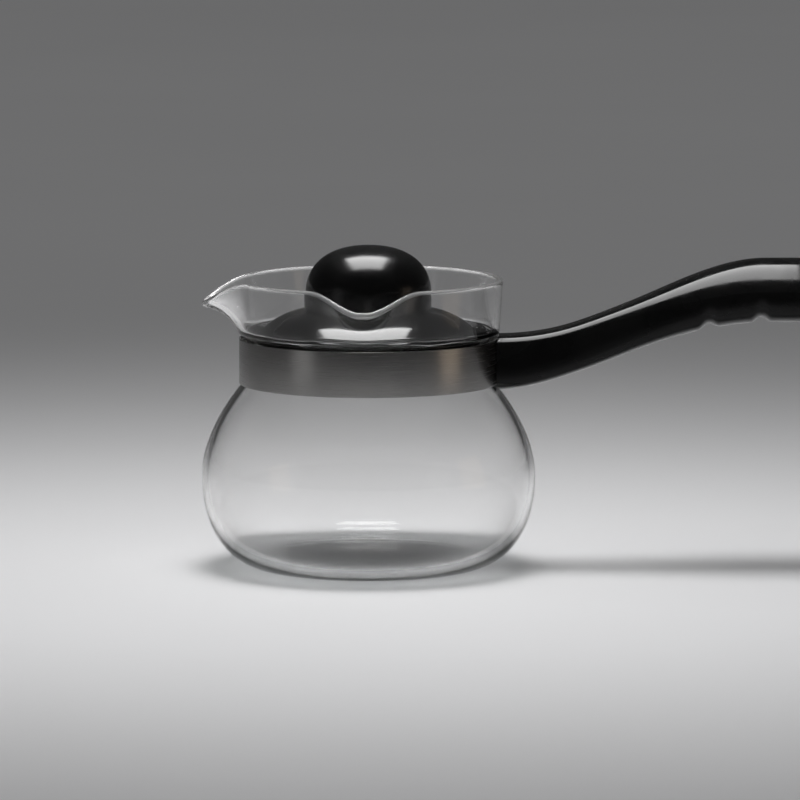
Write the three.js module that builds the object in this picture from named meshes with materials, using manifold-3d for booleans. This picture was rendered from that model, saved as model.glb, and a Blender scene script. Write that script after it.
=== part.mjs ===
// Glass coffee pot: a blown vessel with three pouring lips, a steel band clamped round its neck,
// a long curved handle screwed to the band, and a lift-off lid with a round knob.
// Millimetres, +Z up. The origin is the middle of the flat foot, and +X runs along the handle.

import * as THREE from 'three';
import { mergeVertices } from 'three/addons/utils/BufferGeometryUtils.js';
import Module from 'manifold-3d';

const wasm = await Module();
wasm.setup();

// Glass vessel
const FOOT_RADIUS = 36;
const BELLY_RADIUS = 62.1;
const BELLY_HEIGHT = 34.4;
const NECK_HEIGHT = 71.4;
const NECK_RADIUS = 45.2;
const SHOULDER_STEP = 3.6;
const SHOULDER_RISE = 2.8;
const COLLAR_RISE = 19.3;
const RIM_FLARE = 1.2;
const GLASS_WALL = 2.4;
const GLASS_FLOOR = 3.6;

// Reach of the glass's curve handles, as shares of the span that each one shapes
const FOOT_FULLNESS = 0.57;
const LOWER_FULLNESS = 0.63;
const UPPER_FULLNESS = 0.43;
const NECK_LEAN = 0.3;
const NECK_DIP = 0.17;
const SHOULDER_BEND = 0.5;

// Reach of the curve handles that round the rim into a half circle, in radii
const ROUND_END = 4 / 3;

// Pouring lips, drawn by hand on the three sides away from the handle: turns in degrees from +X
const END_LIP_TURN = 180;
const FRONT_LIP_TURN = 268.4;
const BACK_LIP_TURN = 90;
const END_LIP_DROP = 8;
const SIDE_LIP_DROP = 6.2;
const LIP_OVERHANG = 11.8;
const LIP_HALF_WIDTH = 21.5;
const LIP_TROUGH = 2;
const LIP_SHARPNESS = 0.36;
const LIP_CURL = 1.4;
const LIP_DROOP = 1.3;

// Neck band and the sleeve between it and the glass
const BAND_HEIGHT = 16.8;
const BAND_BELOW_NECK = 2.2;
const BAND_THICKNESS = 0.7;
const SLEEVE_THICKNESS = 1.6;
const SLEEVE_INSET = 2.6;
const EAR_LENGTH = 14;
const EAR_INSET = 2.8;
const EAR_GAP = 1.4;

// Handle
const HANDLE_LENGTH = 142;
const HANDLE_RISE = 26.9;
const BEND_LENGTH = 100;
const HANDLE_DROOP = 3.5;
const DROOP_LENGTH = 32;
const ROOT_LIP = 1.7;
const ROOT_SET_DOWN = 0.5;
const WAIST_HEIGHT = 18.2;
const GRIP_HEIGHT = 23.4;
const ROOT_TAPER_LENGTH = 30;
const GRIP_SWELL_START = 48;
const GRIP_SWELL_LENGTH = 50;
const FLARE_START = 26;
const FLARE_LENGTH = 74;
const ROOT_WIDTH = 19;
const GRIP_WIDTH = 36;
const ROOT_CROWN = 2.4;
const GRIP_CROWN = 11;
const ROOT_KEEL = 4.5;
const GRIP_KEEL = 8;
const TIP_ROUND = 16;
const BURIED_LENGTH = 11;
const NOTCH_COUNT = 3;
const NOTCH_START = 77.8;
const NOTCH_PITCH = 19.4;
const NOTCH_WIDTH = 8;
const NOTCH_DEPTH = 1.9;

// Flatness of the handle's top across its width: 2 is evenly crowned, more is flat with round edges
const ROOT_FLATNESS = 5.5;
const GRIP_FLATNESS = 2.5;

// Roundness of the handle's underside: 2 is an ellipse, more is squarer
const KEEL_SQUARENESS = 2.6;

// Lid
const FLANGE_THICKNESS = 1.3;
const FLANGE_OVERLAP = 1.2;
const FLANGE_WIDTH = 4.8;
const DOME_RISE = 6.7;
const DOME_WALL = 2.2;
const SKIRT_DEPTH = 8;
const SKIRT_WALL = 1.8;
const KNOB_RADIUS = 23.4;
const KNOB_SIDE = 5.6;
const KNOB_CROWN = 18.2;
const KNOB_SQUARENESS = 2.3;
const KNOB_WALL = 2.6;
const BOSS_RADIUS = 6;

// Reach of the dome's curve handles, outwards and downwards, as shares of its width and drop
const DOME_LEAVE = [0.42, 0.07];
const DOME_ARRIVE = [0.74, 0.53];

// Screws, washers and threaded sleeves
const SCREW_RADIUS = 2;
const HEAD_RADIUS = 3.5;
const HEAD_HEIGHT = 2.4;
const SLOT_WIDTH = 1;
const SLOT_DEPTH = 1.1;
const WASHER_RADIUS = 4.2;
const WASHER_THICKNESS = 0.8;
const HEAD_RECESS = 0.6;
const INSERT_WALL = 1.1;
const KNOB_INSERT_LENGTH = 8;
const BLIND_WALL = 2.3;

// Clearances between pieces
const FIT_GAP = 0.3;
const THREAD_GAP = 0.15;
const SEAT_GAP = 0.1;
const GLASS_GAP = 0.5;
const SKIRT_GAP = 1;

// Fineness of the facets
const CURVE_STEPS = 6;
const COLLAR_STEPS = 4;
const KNOB_STEPS = 10;
const HEAD_STEPS = 2;
const VESSEL_SIDES = 72;
const LID_SIDES = 40;
const SMALL_SIDES = 24;
const HANDLE_STEPS = 44;
const SECTION_STEPS = 8;
const TIP_STEPS = 4;
const TIP_STOP = 0.5;
const WELD_DISTANCE = 1e-4;
const SLOPE_STEP = 0.05;
const SEAT_HALVINGS = 40;

// Heights and radii that follow from the sizes above
const bandBottom = NECK_HEIGHT - BAND_BELOW_NECK;
const bandTop = bandBottom + BAND_HEIGHT;
const bandMiddle = (bandBottom + bandTop) / 2;
const shoulderTop = bandTop + SHOULDER_RISE;
const rimHeight = shoulderTop + COLLAR_RISE;
const rimFoot = rimHeight - GLASS_WALL / 2;
const collarRadius = NECK_RADIUS + SHOULDER_STEP;
const rimRadius = collarRadius + RIM_FLARE;
const sleeveInner = NECK_RADIUS + FIT_GAP;
const bandInner = sleeveInner + SLEEVE_THICKNESS + FIT_GAP;
const bandOuter = bandInner + BAND_THICKNESS;
const earEnd = bandOuter + EAR_LENGTH;
const earOuterFace = EAR_GAP / 2 + BAND_THICKNESS;
const clampX = bandOuter + EAR_LENGTH / 2;
const earSlotHalf = earOuterFace + FIT_GAP;
const insertRadius = SCREW_RADIUS + THREAD_GAP + INSERT_WALL;
const rootHeight = BAND_HEIGHT + 2 * ROOT_LIP;
const rootHalfWidth = ROOT_WIDTH / 2;
const washerPocketDepth = HEAD_RECESS + HEAD_HEIGHT + WASHER_THICKNESS;
const washerSeat = rootHalfWidth - washerPocketDepth;
const clampHeadSeat = washerSeat + SEAT_GAP + WASHER_THICKNESS + SEAT_GAP;
const clampInsertLength = rootHalfWidth - BLIND_WALL - earSlotHalf - FIT_GAP;
const clampScrewLength = clampHeadSeat + earSlotHalf + clampInsertLength;

// Mixing and easing
const mix = (from, to, share) => from + (to - from) * share;
const ease = (value) => THREE.MathUtils.smoothstep(value, 0, 1);

// A body of revolution about +Z, from an outline in radius and height
function turned(outline, sides, steps = CURVE_STEPS) {
  const points = outline.getPoints(steps);
  if (THREE.ShapeUtils.isClockWise(points)) points.reverse();
  const geometry = new THREE.LatheGeometry(points, sides);
  geometry.rotateX(Math.PI / 2);
  return geometry;
}

// Closed ring with a rectangular section
function ring(inner, outer, low, high, sides) {
  const outline = new THREE.Path();
  outline.moveTo(inner, low);
  outline.lineTo(outer, low);
  outline.lineTo(outer, high);
  outline.lineTo(inner, high);
  outline.closePath();
  return turned(outline, sides);
}

function box(low, high) {
  const size = high.map((value, axis) => value - low[axis]);
  const geometry = new THREE.BoxGeometry(...size);
  geometry.translate(...high.map((value, axis) => (value + low[axis]) / 2));
  return geometry;
}

// Round bar along Y at the clamp screw, from one side of the handle towards the other
function clampBar(radius, fromY, toY) {
  const geometry = new THREE.CylinderGeometry(radius, radius, Math.abs(toY - fromY), SMALL_SIDES);
  geometry.translate(clampX, (fromY + toY) / 2, bandMiddle);
  return geometry;
}

function toSolid(geometry) {
  const bare = geometry.clone();
  bare.deleteAttribute('normal');
  bare.deleteAttribute('uv');
  const welded = mergeVertices(bare, WELD_DISTANCE);
  const corners = [];
  for (let i = 0; i < welded.index.count; i += 3) {
    const triangle = [0, 1, 2].map((k) => welded.index.getX(i + k));
    if (new Set(triangle).size === 3) corners.push(...triangle);
  }
  const vertProperties = new Float32Array(welded.attributes.position.array);
  const triVerts = new Uint32Array(corners);
  return new wasm.Manifold(new wasm.Mesh({ numProp: 3, vertProperties, triVerts }));
}

function cut(geometry, ...tools) {
  const solid = tools.reduce((left, tool) => left.subtract(toSolid(tool)), toSolid(geometry));
  const mesh = solid.getMesh();
  const result = new THREE.BufferGeometry();
  result.setAttribute('position', new THREE.BufferAttribute(mesh.vertProperties, 3));
  result.setIndex(new THREE.BufferAttribute(mesh.triVerts, 1));
  result.computeVertexNormals();
  return result;
}

// Glass vessel

// Belly from the edge of the foot out to the widest ring and in to the neck
function drawBelly(outline, footRadius, footHeight, bellyRadius, neckRadius) {
  const spread = bellyRadius - footRadius;
  const lowerSpan = BELLY_HEIGHT - footHeight;
  const upperSpan = NECK_HEIGHT - BELLY_HEIGHT;
  const drawIn = bellyRadius - neckRadius;
  outline.bezierCurveTo(
    footRadius + FOOT_FULLNESS * spread, footHeight,
    bellyRadius, BELLY_HEIGHT - LOWER_FULLNESS * lowerSpan,
    bellyRadius, BELLY_HEIGHT,
  );
  outline.bezierCurveTo(
    bellyRadius, BELLY_HEIGHT + UPPER_FULLNESS * upperSpan,
    neckRadius + NECK_LEAN * drawIn, NECK_HEIGHT - NECK_DIP * upperSpan,
    neckRadius, NECK_HEIGHT,
  );
}

// Corners of the S-curve that carries the neck out into the collar
function shoulderCurve(neckRadius, lift) {
  const start = new THREE.Vector2(neckRadius, bandTop + lift);
  const end = new THREE.Vector2(neckRadius + SHOULDER_STEP, shoulderTop + lift);
  const leave = new THREE.Vector2(neckRadius, mix(start.y, end.y, SHOULDER_BEND));
  const arrive = new THREE.Vector2(end.x, mix(end.y, start.y, SHOULDER_BEND));
  return new THREE.CubicBezierCurve(start, leave, arrive, end);
}

const innerNeckRadius = NECK_RADIUS - GLASS_WALL;
const outerShoulder = shoulderCurve(NECK_RADIUS, 0);
const innerShoulder = shoulderCurve(innerNeckRadius, GLASS_WALL / 2);

function drawOuterWall(outline, margin) {
  outline.lineTo(FOOT_RADIUS + margin, -margin);
  drawBelly(outline, FOOT_RADIUS + margin, -margin, BELLY_RADIUS + margin, NECK_RADIUS + margin);
  const { v0, v1, v2, v3 } = outerShoulder;
  outline.lineTo(v0.x + margin, v0.y);
  outline.bezierCurveTo(v1.x + margin, v1.y, v2.x + margin, v2.y, v3.x + margin, v3.y);
}

// Straight wall in short steps, so that the pouring lips can be bent out of it
function drawSteps(outline, from, to) {
  for (let i = 1; i <= COLLAR_STEPS; i += 1) {
    const share = i / COLLAR_STEPS;
    outline.lineTo(mix(from.x, to.x, share), mix(from.y, to.y, share));
  }
}

function vesselOutline() {
  const outline = new THREE.Path();
  outline.moveTo(0, 0);
  drawOuterWall(outline, 0);
  const rimHandle = rimFoot + ROUND_END * (rimHeight - rimFoot);
  const outerRim = new THREE.Vector2(rimRadius, rimFoot);
  const innerRim = new THREE.Vector2(rimRadius - GLASS_WALL, rimFoot);
  drawSteps(outline, outerShoulder.v3, outerRim);
  outline.bezierCurveTo(outerRim.x, rimHandle, innerRim.x, rimHandle, innerRim.x, innerRim.y);
  const { v0, v1, v2, v3 } = innerShoulder;
  drawSteps(outline, innerRim, v3);
  outline.bezierCurveTo(v2.x, v2.y, v1.x, v1.y, v0.x, v0.y);
  outline.lineTo(innerNeckRadius, NECK_HEIGHT);
  const inside = new THREE.Path();
  inside.moveTo(FOOT_RADIUS, GLASS_FLOOR);
  drawBelly(inside, FOOT_RADIUS, GLASS_FLOOR, BELLY_RADIUS - GLASS_WALL, innerNeckRadius);
  const [lower, upper] = inside.curves;
  outline.bezierCurveTo(upper.v2.x, upper.v2.y, upper.v1.x, upper.v1.y, upper.v0.x, upper.v0.y);
  outline.bezierCurveTo(lower.v2.x, lower.v2.y, lower.v1.x, lower.v1.y, lower.v0.x, lower.v0.y);
  outline.lineTo(0, GLASS_FLOOR);
  return outline;
}

// How far a point of the collar belongs to a pouring lip, from 0 beside it to 1 in its trough
function lipShare(radius, turn) {
  if (Math.cos(turn) <= 0) return 0;
  const across = Math.abs(radius * Math.sin(turn));
  const inwards = (LIP_HALF_WIDTH - across) / (LIP_HALF_WIDTH - LIP_TROUGH);
  const slope = THREE.MathUtils.clamp(inwards, 0, 1);
  return mix(ease(slope), slope ** 2, LIP_SHARPNESS);
}

// Radius of the middle of the collar's wall, before any lip is drawn
function collarMiddle(height) {
  const climb = (height - shoulderTop) / (rimFoot - shoulderTop);
  return mix(collarRadius, rimRadius, climb) - GLASS_WALL / 2;
}

// Where a lip carries the middle of the wall: out and down, more and more towards the rim
function drawnMiddle(height, share, drop) {
  const climb = Math.max(0, (height - shoulderTop) / (rimFoot - shoulderTop));
  const pull = share * climb ** LIP_CURL;
  const radius = collarMiddle(height) + LIP_OVERHANG * pull;
  return new THREE.Vector2(radius, height - drop * pull ** LIP_DROOP);
}

// Bends the collar into one pouring lip, keeping the wall's thickness and the round of its rim
function drawLip(geometry, turnDegrees, drop) {
  const points = geometry.attributes.position;
  const lipAngle = THREE.MathUtils.degToRad(turnDegrees);
  for (let i = 0; i < points.count; i += 1) {
    const [x, y, z] = [points.getX(i), points.getY(i), points.getZ(i)];
    const radius = Math.hypot(x, y);
    const angle = Math.atan2(y, x);
    const height = Math.min(z, rimFoot);
    const share = lipShare(collarMiddle(height), angle - lipAngle);
    if (height <= shoulderTop || share === 0) continue;
    const middle = drawnMiddle(height, share, drop);
    const below = drawnMiddle(height - SLOPE_STEP, share, drop);
    const upwards = middle.clone().sub(below).normalize();
    const outwards = new THREE.Vector2(upwards.y, -upwards.x);
    const bent = middle.addScaledVector(upwards, z - height);
    bent.addScaledVector(outwards, radius - collarMiddle(height));
    points.setXYZ(i, bent.x * Math.cos(angle), bent.x * Math.sin(angle), bent.y);
  }
}

function glassBody() {
  const geometry = turned(vesselOutline(), VESSEL_SIDES);
  drawLip(geometry, END_LIP_TURN, END_LIP_DROP);
  drawLip(geometry, FRONT_LIP_TURN, SIDE_LIP_DROP);
  drawLip(geometry, BACK_LIP_TURN, SIDE_LIP_DROP);
  return geometry;
}

// Solid that holds the glass and a margin round it, for shaping what lies against it
function glassKeepOut(margin) {
  const outline = new THREE.Path();
  outline.moveTo(0, -margin);
  drawOuterWall(outline, margin);
  outline.lineTo(rimRadius + margin, rimHeight);
  outline.lineTo(0, rimHeight);
  return turned(outline, VESSEL_SIDES);
}

// Neck band

function bandSleeve() {
  const outer = sleeveInner + SLEEVE_THICKNESS;
  return ring(sleeveInner, outer, bandBottom + SLEEVE_INSET, bandTop - SLEEVE_INSET, VESSEL_SIDES);
}

// Split strap whose two ends turn outwards as flat ears with a gap between them
function neckBand() {
  const innerFace = EAR_GAP / 2;
  const outerStart = Math.asin(earOuterFace / bandOuter);
  const innerStart = Math.asin(innerFace / bandInner);
  const strap = new THREE.Shape();
  strap.moveTo(earEnd, innerFace);
  strap.lineTo(earEnd, earOuterFace);
  strap.absarc(0, 0, bandOuter, outerStart, 2 * Math.PI - outerStart, false);
  strap.lineTo(earEnd, -earOuterFace);
  strap.lineTo(earEnd, -innerFace);
  strap.absarc(0, 0, bandInner, 2 * Math.PI - innerStart, innerStart, true);
  strap.closePath();
  const geometry = new THREE.ExtrudeGeometry(strap, {
    depth: BAND_HEIGHT,
    curveSegments: VESSEL_SIDES / 2,
    bevelEnabled: false,
  });
  geometry.translate(0, 0, bandBottom);
  const reach = earEnd + BAND_THICKNESS;
  const side = earOuterFace + BAND_THICKNESS;
  const above = box([bandOuter, -side, bandTop - EAR_INSET], [reach, side, bandTop + BAND_THICKNESS]);
  const below = box([bandOuter, -side, bandBottom - BAND_THICKNESS], [reach, side, bandBottom + EAR_INSET]);
  return cut(geometry, above, below, clampBar(SCREW_RADIUS + FIT_GAP, -side, side));
}

// Handle

// Distance along the handle, from the band, at which each of its sections stands
function handleStations() {
  const start = -BURIED_LENGTH;
  const straight = HANDLE_LENGTH - TIP_ROUND;
  const stations = [];
  for (let i = 0; i <= HANDLE_STEPS; i += 1) stations.push(mix(start, straight, i / HANDLE_STEPS));
  for (let i = 1; i <= TIP_STEPS; i += 1) {
    const turn = (Math.PI / 2) * (i / (TIP_STEPS + TIP_STOP));
    stations.push(straight + TIP_ROUND * Math.sin(turn));
  }
  return stations;
}

// Shrinks the sections of the last stretch into a rounded tip
function tipShare(along) {
  const past = Math.max(0, along - (HANDLE_LENGTH - TIP_ROUND)) / TIP_ROUND;
  return Math.sqrt(Math.max(0, 1 - past * past));
}

function notchRise(along) {
  let rise = 0;
  for (let i = 0; i < NOTCH_COUNT; i += 1) {
    const offset = Math.abs(along - NOTCH_START - i * NOTCH_PITCH) / (NOTCH_WIDTH / 2);
    if (offset < 1) rise = NOTCH_DEPTH * (1 + Math.cos(Math.PI * offset)) / 2;
  }
  return rise;
}

// Sizes of the handle's section at a distance from the band
function handleSizes(along) {
  const bend = ease(along / BEND_LENGTH);
  const droop = ease((along - HANDLE_LENGTH + DROOP_LENGTH) / DROOP_LENGTH);
  const swell = ease((along - GRIP_SWELL_START) / GRIP_SWELL_LENGTH);
  const flare = ease((along - FLARE_START) / FLARE_LENGTH);
  const taper = ease(along / ROOT_TAPER_LENGTH);
  const tip = tipShare(along);
  return {
    middle: bandMiddle - ROOT_SET_DOWN + HANDLE_RISE * bend - HANDLE_DROOP * droop,
    halfHeight: mix(mix(rootHeight, WAIST_HEIGHT, taper), GRIP_HEIGHT, swell) / 2 * tip,
    halfWidth: mix(ROOT_WIDTH, GRIP_WIDTH, flare) / 2 * tip,
    crown: mix(ROOT_CROWN, GRIP_CROWN, flare) * tip,
    keel: mix(ROOT_KEEL, GRIP_KEEL, flare) * tip,
    flatness: mix(ROOT_FLATNESS, GRIP_FLATNESS, flare),
    notch: notchRise(along),
  };
}

const rounded = (value, squareness) => Math.sign(value) * Math.abs(value) ** (2 / squareness);

// Closed ring of points: a crowned top, straight sides and a rounded underside
function handleSection(along) {
  const { middle, halfHeight, halfWidth, crown, flatness, keel, notch } = handleSizes(along);
  const x = bandOuter + along;
  const points = [];
  for (let i = 0; i <= SECTION_STEPS; i += 1) {
    const share = Math.cos(Math.PI * i / SECTION_STEPS);
    const z = middle + halfHeight - crown * Math.abs(share) ** flatness;
    points.push(new THREE.Vector3(x, halfWidth * share, z));
  }
  for (let i = 0; i <= SECTION_STEPS; i += 1) {
    const angle = Math.PI * (1 + i / SECTION_STEPS);
    const y = halfWidth * rounded(Math.cos(angle), KEEL_SQUARENESS);
    const z = middle - halfHeight + keel + notch + keel * rounded(Math.sin(angle), KEEL_SQUARENESS);
    points.push(new THREE.Vector3(x, y, z));
  }
  return points;
}

// Skin over a row of sections, closed by a fan at each end
function loft(sections) {
  const count = sections[0].length;
  const last = sections.length - 1;
  const total = (section) => section.reduce((sum, point) => sum.add(point), new THREE.Vector3());
  const centre = (section) => total(section).divideScalar(count);
  const points = sections.flat().concat(centre(sections[0]), centre(sections[last]));
  const index = [];
  for (let i = 0; i < count; i += 1) {
    const next = (i + 1) % count;
    for (let row = 0; row < last; row += 1) {
      const here = row * count;
      const beyond = here + count;
      index.push(here + i, here + next, beyond + i, here + next, beyond + next, beyond + i);
    }
    index.push(points.length - 2, next, i);
    index.push(points.length - 1, last * count + i, last * count + next);
  }
  const geometry = new THREE.BufferGeometry().setFromPoints(points);
  geometry.setIndex(index);
  return geometry;
}

function handle() {
  const saddleRadius = bandOuter + FIT_GAP;
  const saddle = new THREE.CylinderGeometry(saddleRadius, saddleRadius, 2 * rootHeight, VESSEL_SIDES);
  saddle.rotateX(Math.PI / 2);
  saddle.translate(0, 0, bandMiddle);
  const earSlot = box(
    [bandInner, -earSlotHalf, bandBottom + EAR_INSET - FIT_GAP],
    [earEnd + FIT_GAP, earSlotHalf, bandTop - EAR_INSET + FIT_GAP],
  );
  const insertEnd = earSlotHalf + clampInsertLength + FIT_GAP;
  return cut(
    loft(handleStations().map(handleSection)),
    saddle,
    glassKeepOut(GLASS_GAP),
    earSlot,
    clampBar(WASHER_RADIUS + FIT_GAP, washerSeat, ROOT_WIDTH),
    clampBar(SCREW_RADIUS + FIT_GAP, 0, washerSeat + SEAT_GAP),
    clampBar(insertRadius + FIT_GAP, 0, -insertEnd),
  );
}

// Screws, washers and threaded sleeves

// Slotted pan-head screw: the head stands on the plane z = 0 and the shank hangs below it
function screw(length) {
  const outline = new THREE.Path();
  outline.moveTo(0, -length);
  outline.lineTo(SCREW_RADIUS, -length);
  outline.lineTo(SCREW_RADIUS, 0);
  outline.lineTo(HEAD_RADIUS, 0);
  outline.lineTo(HEAD_RADIUS, HEAD_HEIGHT / 2);
  outline.quadraticCurveTo(HEAD_RADIUS, HEAD_HEIGHT, HEAD_RADIUS - HEAD_HEIGHT / 2, HEAD_HEIGHT);
  outline.lineTo(0, HEAD_HEIGHT);
  const slot = box(
    [-SLOT_WIDTH / 2, -2 * HEAD_RADIUS, HEAD_HEIGHT - SLOT_DEPTH],
    [SLOT_WIDTH / 2, 2 * HEAD_RADIUS, 2 * HEAD_HEIGHT],
  );
  return cut(turned(outline, SMALL_SIDES, HEAD_STEPS), slot);
}

function washer() {
  return ring(SCREW_RADIUS + THREAD_GAP, WASHER_RADIUS, 0, WASHER_THICKNESS, SMALL_SIDES);
}

function threadedSleeve(length) {
  return ring(SCREW_RADIUS + THREAD_GAP, insertRadius, 0, length, SMALL_SIDES);
}

// Lid

// Height of the inner shoulder where it is as wide as the lid's flange
function shoulderHeightAt(radius) {
  let low = 0;
  let high = 1;
  for (let i = 0; i < SEAT_HALVINGS; i += 1) {
    const middle = (low + high) / 2;
    if (innerShoulder.getPoint(middle).x < radius) low = middle;
    else high = middle;
  }
  return innerShoulder.getPoint(high).y;
}

const flangeRadius = innerNeckRadius + FLANGE_OVERLAP;
const flangeBottom = shoulderHeightAt(flangeRadius + FIT_GAP);
const flangeTop = flangeBottom + FLANGE_THICKNESS;
const domeFoot = flangeRadius - FLANGE_WIDTH;
const domeTop = flangeTop + DOME_RISE;
const skirtRadius = innerNeckRadius - SKIRT_GAP;
const knobBottom = domeTop + SEAT_GAP;

// Dome from the knob's seat down to the flange
function drawDome(outline, seatRadius, seatHeight, footRadius, footHeight) {
  const spread = footRadius - seatRadius;
  const drop = seatHeight - footHeight;
  outline.bezierCurveTo(
    seatRadius + DOME_LEAVE[0] * spread, seatHeight - DOME_LEAVE[1] * drop,
    seatRadius + DOME_ARRIVE[0] * spread, seatHeight - DOME_ARRIVE[1] * drop,
    footRadius, footHeight,
  );
}

function lidDome() {
  const hole = SCREW_RADIUS + FIT_GAP;
  const innerFoot = domeFoot - DOME_WALL;
  const skirtInner = skirtRadius - SKIRT_WALL;
  const outline = new THREE.Path();
  outline.moveTo(hole, domeTop);
  outline.lineTo(KNOB_RADIUS, domeTop);
  drawDome(outline, KNOB_RADIUS, domeTop, domeFoot, flangeTop);
  outline.lineTo(flangeRadius, flangeTop);
  outline.lineTo(flangeRadius, flangeBottom);
  outline.lineTo(skirtRadius, flangeBottom);
  outline.lineTo(skirtRadius, flangeBottom - SKIRT_DEPTH);
  outline.lineTo(skirtInner, flangeBottom - SKIRT_DEPTH);
  outline.lineTo(skirtInner, flangeBottom);
  outline.lineTo(innerFoot, flangeBottom);
  const inside = new THREE.Path();
  inside.moveTo(KNOB_RADIUS, domeTop - DOME_WALL);
  drawDome(inside, KNOB_RADIUS, domeTop - DOME_WALL, innerFoot, flangeBottom);
  const [under] = inside.curves;
  outline.bezierCurveTo(under.v2.x, under.v2.y, under.v1.x, under.v1.y, under.v0.x, under.v0.y);
  outline.lineTo(hole, domeTop - DOME_WALL);
  outline.closePath();
  return turned(outline, LID_SIDES);
}

// Rounded shell of the knob, from its foot up its side and over to the axis
function knobShell(radius, crown) {
  const points = [];
  for (let i = 0; i < KNOB_STEPS; i += 1) {
    const angle = (Math.PI / 2) * (i / KNOB_STEPS);
    const across = radius * rounded(Math.cos(angle), KNOB_SQUARENESS);
    const up = crown * rounded(Math.sin(angle), KNOB_SQUARENESS);
    points.push(new THREE.Vector2(across, knobBottom + KNOB_SIDE + up));
  }
  points.push(new THREE.Vector2(0, knobBottom + KNOB_SIDE + crown));
  return points;
}

// Hollow knob with a central boss that holds the threaded sleeve
function lidKnob() {
  const pocketRadius = insertRadius + FIT_GAP;
  const pocketTop = knobBottom + KNOB_INSERT_LENGTH + 2 * FIT_GAP;
  const outer = knobShell(KNOB_RADIUS, KNOB_CROWN);
  const inner = knobShell(KNOB_RADIUS - KNOB_WALL, KNOB_CROWN - KNOB_WALL);
  const ceiling = inner.filter((point) => point.x > BOSS_RADIUS + KNOB_WALL / 2);
  const outline = new THREE.Path();
  outline.moveTo(0, pocketTop);
  outline.lineTo(pocketRadius, pocketTop);
  outline.lineTo(pocketRadius, knobBottom);
  outline.lineTo(BOSS_RADIUS, knobBottom);
  outline.lineTo(BOSS_RADIUS, ceiling.at(-1).y);
  ceiling.reverse().forEach((point) => outline.lineTo(point.x, point.y));
  outline.lineTo(KNOB_RADIUS - KNOB_WALL, knobBottom);
  outline.lineTo(KNOB_RADIUS, knobBottom);
  outer.forEach((point) => outline.lineTo(point.x, point.y));
  return turned(outline, LID_SIDES);
}

// Materials

function plain(color, roughness, metalness) {
  return new THREE.MeshStandardMaterial({ color, roughness, metalness });
}

const clearGlass = plain(0xeef3f3, 0.03, 0);
clearGlass.transparent = true;
clearGlass.opacity = 0.25;
const polishedSteel = plain(0xb9b8b4, 0.18, 1);
const screwSteel = plain(0xa8a8a6, 0.3, 1);
const brass = plain(0xb58d3d, 0.35, 1);
const greyRubber = plain(0x3a3a3a, 0.8, 0);
const blackPhenolic = plain(0x0b0b0c, 0.22, 0);
const glossBlack = plain(0x0a0a0b, 0.12, 0);
const satinBlack = plain(0x0c0c0d, 0.38, 0);

// Assembly

function piece(name, geometry, material, height = 0) {
  const mesh = new THREE.Mesh(geometry, material.clone());
  mesh.name = name;
  mesh.position.z = height;
  return mesh;
}

// Screw, washer and threaded sleeve across the handle, with the screw's head towards +Y
function clampHardware() {
  const hardware = new THREE.Group();
  hardware.position.set(clampX, 0, bandMiddle);
  hardware.rotation.x = -Math.PI / 2;
  hardware.add(
    piece('clamp_screw', screw(clampScrewLength), screwSteel, clampHeadSeat),
    piece('clamp_washer', washer(), screwSteel, washerSeat + SEAT_GAP),
    piece('clamp_insert', threadedSleeve(clampInsertLength), brass, -earSlotHalf - clampInsertLength),
  );
  return hardware;
}

// Lid with its knob, held by a screw from below
function lid() {
  const underside = domeTop - DOME_WALL;
  const washerTop = underside - SEAT_GAP;
  const headSeat = washerTop - WASHER_THICKNESS - SEAT_GAP;
  const screwLength = knobBottom + KNOB_INSERT_LENGTH - headSeat;
  const knobScrew = piece('knob_screw', screw(screwLength), screwSteel, headSeat);
  knobScrew.rotation.x = Math.PI;
  const group = new THREE.Group();
  group.add(
    piece('lid_dome', lidDome(), glossBlack),
    piece('lid_knob', lidKnob(), satinBlack),
    piece('knob_insert', threadedSleeve(KNOB_INSERT_LENGTH), brass, knobBottom + FIT_GAP),
    piece('knob_washer', washer(), screwSteel, washerTop - WASHER_THICKNESS),
    knobScrew,
  );
  return group;
}

const coffeePot = new THREE.Group();
coffeePot.name = 'coffee_pot';
coffeePot.add(
  piece('glass_body', glassBody(), clearGlass),
  piece('band_sleeve', bandSleeve(), greyRubber),
  piece('neck_band', neckBand(), polishedSteel),
  piece('handle', handle(), blackPhenolic),
  clampHardware(),
  lid(),
);

export default coffeePot;
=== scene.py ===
"""Glass coffee pot: smooth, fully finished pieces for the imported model, and a plain studio round it."""

import math

import bmesh
import bpy
from mathutils import Matrix, Vector


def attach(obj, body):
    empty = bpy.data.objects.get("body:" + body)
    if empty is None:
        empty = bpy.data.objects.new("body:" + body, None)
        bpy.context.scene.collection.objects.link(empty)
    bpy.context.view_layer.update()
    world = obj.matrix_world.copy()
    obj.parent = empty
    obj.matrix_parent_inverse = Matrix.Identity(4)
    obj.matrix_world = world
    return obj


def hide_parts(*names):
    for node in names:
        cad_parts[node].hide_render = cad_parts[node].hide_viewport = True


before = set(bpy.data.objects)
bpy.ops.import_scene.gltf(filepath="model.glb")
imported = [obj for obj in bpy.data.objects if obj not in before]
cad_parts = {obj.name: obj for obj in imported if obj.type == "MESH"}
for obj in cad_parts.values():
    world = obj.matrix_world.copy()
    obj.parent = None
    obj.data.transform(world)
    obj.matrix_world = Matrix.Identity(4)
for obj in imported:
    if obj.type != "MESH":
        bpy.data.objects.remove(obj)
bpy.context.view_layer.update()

# Sizes of the object are in millimetres, as on its drawing, and meshes are made in metres
MM = 0.001

# Glass vessel
FOOT_RADIUS = 36
BELLY_RADIUS = 62.1
BELLY_HEIGHT = 34.4
NECK_HEIGHT = 71.4
NECK_RADIUS = 45.2
SHOULDER_STEP = 3.6
SHOULDER_RISE = 2.8
COLLAR_RISE = 19.3
RIM_FLARE = 1.2
GLASS_WALL = 2.4
GLASS_FLOOR = 3.6

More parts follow.
